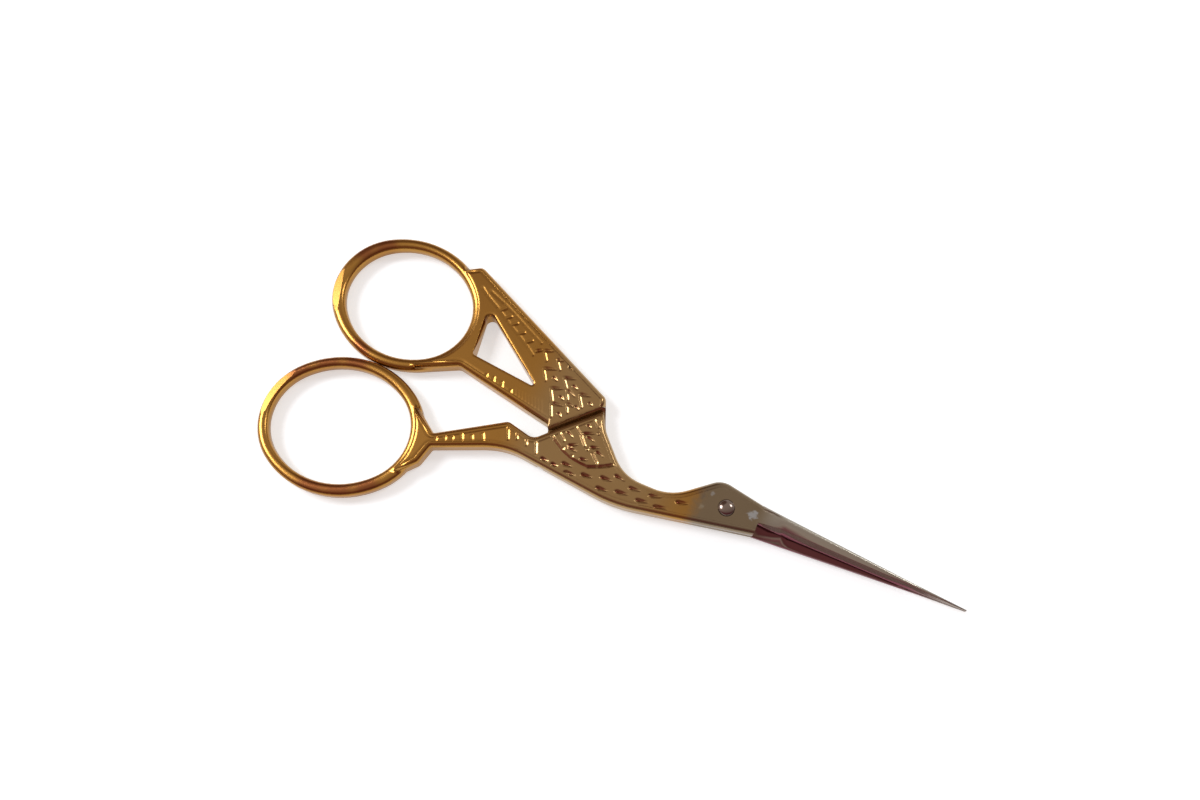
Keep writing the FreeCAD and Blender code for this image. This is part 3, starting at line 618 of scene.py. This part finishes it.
# Spots on the steel of the head: x, y, size, strength and colour.
SPOTS = ((-4.7, 0.7, 1.6, 0.5, "#6E6A66"), (-2.7, 1.3, 0.5, 0.5, "#B0B2B8"),
         (-3.7, -1.3, 0.6, 0.45, "#AAA598"), (4.2, 0.6, 1.0, 0.8, "#B8BEC8"))
DULL_FROM = (-38, -31)           # the gold turns dull between these, towards the neck
DULL_TO = (-14, -4)              # and warm again between these
STROKE_SHADE = (-0.06, -0.16)         # depth at which the painted shade in a stroke begins, and where it is quite dark
GOLD_TO = (-6.5, -3.0)           # the gold is worn through between these
RAGGED = 4                       # how widely that edge wanders
BRIGHT_FROM = (4.5, 8.0)         # the steel turns bright between these, along the beak
BEVEL_SHEEN_FROM = (6, 10)             # the painted highlight on the blade's bevel comes in between these
BEAK_FROM = (5.0, 5.6)
LOWER_BLADE = (1.76, 1.72)       # the lower blade's face lies below this height
TIP_FROM = (29, 36)              # the painted maroon reflection fades out between these, towards the point


def mm_between(tree, value, span):
    """A soft step between two places in millimetres."""
    return between(tree, value, span[0] * MM, span[1] * MM)


def gilding(tree, where, along_x, upward, clouds):
    """Gold that is dull on the body, with painted shade in the strokes and painted dark copper-red
    reflections on the rings.
    """
    gold = mix(tree, clouds, linear("#A67A3C"), linear("#B28342"))
    dull = mix(tree, clouds, linear("#A08258"), linear("#AA8C62"))
    body = math_node(tree, "MULTIPLY", mm_between(tree, along_x, DULL_FROM),
                     mm_between(tree, along_x, DULL_TO[::-1]))
    gold = mix(tree, body, gold, dull)
    pressed = add(tree, "ShaderNodeAttribute", attribute_name="pressed").outputs["Fac"]
    # Painted shade: the gold turns maroon brown where a stroke is pressed deep.
    gold = mix(tree, mm_between(tree, pressed, STROKE_SHADE), gold, linear("#7A3F30"))
    # Painted reflection: dark copper-red patches on the wires, strongest where they face up.
    for x, y, size in RING_REFLECTIONS:
        near = far_from(tree, where, (x * MM, y * MM, WIRE_TOP * MM))
        ring_reflection = math_node(tree, "MULTIPLY", mm_between(tree, near, (size, 0.3 * size)),
                           between(tree, upward, 0.6, 0.9, 0.2, 0.75))
        gold = mix(tree, ring_reflection, gold, linear("#8A4C34"))
    return gold


def worn_steel_and_sheen(tree, where, along_x, upward, clouds):
    """Steel that shows at the head, brown there and spotted, brighter along the blade, with a painted
    highlight on its bevel.
    """
    steel = mix(tree, clouds, linear("#82735E"), linear("#8E7E6A"))
    steel = mix(tree, mm_between(tree, along_x, BRIGHT_FROM), steel, linear("#AAA49C"))
    # Painted highlight: the beak's sloping bevel faces are made lighter from about x 6 mm on.
    bevel = math_node(tree, "MULTIPLY", between(tree, upward, 0.99, 0.94), between(tree, upward, 0.80, 0.88))
    bevel = math_node(tree, "MULTIPLY", bevel, mm_between(tree, along_x, BEVEL_SHEEN_FROM))
    steel = mix(tree, bevel, steel, linear("#BCBAB0"))
    for x, y, size, strength, tint in SPOTS:
        near = far_from(tree, where, (x * MM, y * MM, TOP * MM))
        ragged = math_node(tree, "MULTIPLY_ADD", noise(tree, where, 0.6, 4.0, 0.7), 2.4 * size * MM,
                           -1.1 * size * MM)
        near = math_node(tree, "ADD", near, ragged)
        spot = between(tree, near, size * MM, 0.5 * size * MM, 0, strength)
        steel = mix(tree, spot, steel, linear(tint))
    return steel


def gold_plate():
    """Gold plate on steel: warm gold with faint clouds, with painted shade in the strokes, and worn away at
    the head.

    The beak is bare polished steel. The lower blade's inner face and the beak's sloping edges carry a painted
    dull maroon reflection."""
    material, tree = new_material("worn_gold_plate_and_painted_light")
    where = add(tree, "ShaderNodeTexCoord").outputs["Object"]
    place = add(tree, "ShaderNodeSeparateXYZ", {"Vector": where})
    normal = add(tree, "ShaderNodeNewGeometry").outputs["Normal"]
    facing = add(tree, "ShaderNodeSeparateXYZ", {"Vector": normal})
    along_x = place.outputs["X"]
    upward = facing.outputs["Z"]
    clouds = noise(tree, where, 7.0, 2.0)
    gold = gilding(tree, where, along_x, upward, clouds)
    steel = worn_steel_and_sheen(tree, where, along_x, upward, clouds)
    ragged = math_node(tree, "MULTIPLY_ADD", noise(tree, where, 2.2, 4.0, 0.7), RAGGED * MM, -RAGGED / 2 * MM)
    edge = math_node(tree, "ADD", along_x, ragged)
    colour = mix(tree, mm_between(tree, edge, GOLD_TO), gold, steel)
    beak = mm_between(tree, along_x, BEAK_FROM)
    tip = mm_between(tree, along_x, TIP_FROM)
    # Painted reflection: the lower blade's upward face below the upper blade is dull maroon, fading to grey
    # towards the point.
    ground_reflection = math_node(tree, "MULTIPLY", mm_between(tree, place.outputs["Z"], LOWER_BLADE),
                       between(tree, upward, 0.9, 0.97))
    ground_reflection = math_node(tree, "MULTIPLY", ground_reflection, beak)
    colour = mix(tree, ground_reflection, colour, mix(tree, tip, linear("#693C40"), linear("#8A7C74")))
    # Painted reflection: the beak's edges that slope towards -Y are pinkish maroon, fading to grey towards
    # the point.
    steep_reflection = math_node(tree, "MULTIPLY", between(tree, facing.outputs["Y"], -0.55, -0.85), beak)
    colour = mix(tree, steep_reflection, colour, mix(tree, tip, linear("#7A4650"), linear("#A0948C")))
    shader = add(tree, "ShaderNodeBsdfPrincipled", {"Base Color": colour, "Metallic": 1.0, "Roughness": 0.24})
    finish_material(tree, shader.outputs[0])
    return material


def bare_steel():
    """Polished steel of the rivet: bright, with a faint unevenness in its polish."""
    material, tree = new_material("polished_steel")
    where = add(tree, "ShaderNodeTexCoord").outputs["Object"]
    rough = between(tree, noise(tree, where, 0.4), 0.3, 0.7, 0.12, 0.18)
    shader = add(tree, "ShaderNodeBsdfPrincipled",
                 {"Base Color": linear("#8C7E78"), "Metallic": 1.0, "Roughness": rough})
    finish_material(tree, shader.outputs[0])
    return material


# ---- surroundings ----

TABLE_HALF = 1.5
PAPER = (0.74, 0.80, 0.86, 1)
PAPER_GLOW = 0.52


def white_table():
    """White paper. Its glow is only for the camera and for mirror images, so the scissors' shadow stays."""
    mesh = bpy.data.meshes.new("table")
    corners = ((-1, -1), (1, -1), (1, 1), (-1, 1))
    mesh.from_pydata([(x * TABLE_HALF, y * TABLE_HALF, 0) for x, y in corners], [], [(0, 1, 2, 3)])
    table = bpy.data.objects.new("table", mesh)
    bpy.context.collection.objects.link(table)
    material, tree = new_material("white_paper")
    diffuse = add(tree, "ShaderNodeBsdfDiffuse", {"Color": PAPER})
    glow = add(tree, "ShaderNodeEmission", {"Color": (1, 1, 1, 1), "Strength": PAPER_GLOW})
    path = add(tree, "ShaderNodeLightPath")
    seen = math_node(tree, "MAXIMUM", path.outputs["Is Camera Ray"], path.outputs["Is Glossy Ray"])
    seen = math_node(tree, "MAXIMUM", seen, path.outputs["Is Transmission Ray"])
    dark = add(tree, "ShaderNodeEmission", {"Strength": 0.0})
    light = add(tree, "ShaderNodeMixShader", {0: seen, 1: dark.outputs[0], 2: glow.outputs[0]})
    both = add(tree, "ShaderNodeAddShader", {0: diffuse.outputs[0], 1: light.outputs[0]})
    finish_material(tree, both.outputs[0])
    mesh.materials.append(material)


# What the metal mirrors: the table's edge at the camera's side is 0, overhead 0.5 and its far edge 1.
ROOM = (
    (0.0, (0.32, 0.27, 0.23, 1)),
    (0.14, (0.30, 0.23, 0.19, 1)),
    (0.175, (0.21, 0.06, 0.08, 1)),
    (0.25, (0.22, 0.06, 0.08, 1)),
    (0.30, (0.33, 0.21, 0.185, 1)),
    (0.37, (0.45, 0.36, 0.31, 1)),
    (0.50, (0.56, 0.48, 0.41, 1)),
    (0.61, (0.62, 0.545, 0.47, 1)),
    (0.78, (0.68, 0.61, 0.54, 1)),
    (1.0, (0.74, 0.68, 0.62, 1)),
)
DIMMER_RIGHT = 0.25              # how much dimmer the room is on the right, and brighter on the left
CURTAIN = (AWAY * 0.78 - RIGHT * 0.32 + UP * 0.53).normalized()
CURTAIN_EDGE = (0.81, 0.94)
CURTAIN_COLOUR = (0.22, 0.14, 0.105, 1)


def room():
    """The room that the metal mirrors: warm grey overhead and light beyond the table.

    A dark red band on the camera's side and a dark curtain beyond the table give the metal its dark lines.
    The camera itself sees white."""
    world = bpy.data.worlds.new("room")
    world.use_nodes = True
    tree = world.node_tree
    tree.nodes.clear()
    where = add(tree, "ShaderNodeTexCoord").outputs["Generated"]
    height = add(tree, "ShaderNodeSeparateXYZ", {"Vector": where}).outputs["Z"]
    tilt = math_node(tree, "ARCTAN2", dot(tree, where, AWAY), height)
    share = add(tree, "ShaderNodeMapRange",
                {"Value": tilt, "From Min": -math.pi / 2, "From Max": math.pi / 2})
    colour = ramp(tree, share.outputs["Result"], ROOM)
    curtain = between(tree, dot(tree, where, CURTAIN), *CURTAIN_EDGE)
    colour = mix(tree, curtain, colour, CURTAIN_COLOUR)
    strength = math_node(tree, "MULTIPLY_ADD", dot(tree, where, RIGHT), -DIMMER_RIGHT, 1.0)
    around = add(tree, "ShaderNodeBackground", {"Color": colour, "Strength": strength})
    white = add(tree, "ShaderNodeBackground", {"Color": (1, 1, 1, 1), "Strength": 1.0})
    path = add(tree, "ShaderNodeLightPath")
    both = add(tree, "ShaderNodeMixShader",
               {0: path.outputs["Is Camera Ray"], 1: around.outputs[0], 2: white.outputs[0]})
    add(tree, "ShaderNodeOutputWorld", {"Surface": both.outputs[0]})
    bpy.context.scene.world = world


def soft_box(name, right, away, up, size, power, target_x=0):
    """A square lamp at a place over the table, right and away from the camera, facing the scissors."""
    data = bpy.data.lights.new(name, "AREA")
    data.size = size * MM
    data.energy = power
    lamp = bpy.data.objects.new(name, data)
    place = (RIGHT * right + AWAY * away + UP * up) * MM
    target = Vector((target_x * MM, 0, 0))
    lamp.location = place
    lamp.rotation_euler = (target - place).to_track_quat("-Z", "Y").to_euler()
    bpy.context.collection.objects.link(lamp)


# ---- the scene ----

# Each half: its node and body, where on the ring its flat is filed and how far that slopes, in degrees.
HALVES = (("front_half", "front", 172, 9.5, front_strokes()), ("rear_half", "rear", 200, 12, rear_strokes()))

gold = gold_plate()
for node, body, turn, tilt, strokes in HALVES:
    piece = merged(node, "gilt_" + node)
    file_flat(piece, math.radians(turn), math.radians(tilt))
    weave_skin(piece)
    press(piece, strokes, gold)
    smooth(piece)
    own_piece(piece, node, body)

rivet = merged("pivot_rivet", "eye_rivet")
smooth(rivet)
rivet.data.materials.append(bare_steel())
own_piece(rivet, "pivot_rivet", "rear")

place_camera()
white_table()
room()
soft_box("window", -520, 210, 570, 260, 2.8, target_x=-30)
soft_box("lamp", 420, 250, 420, 150, 0.6)
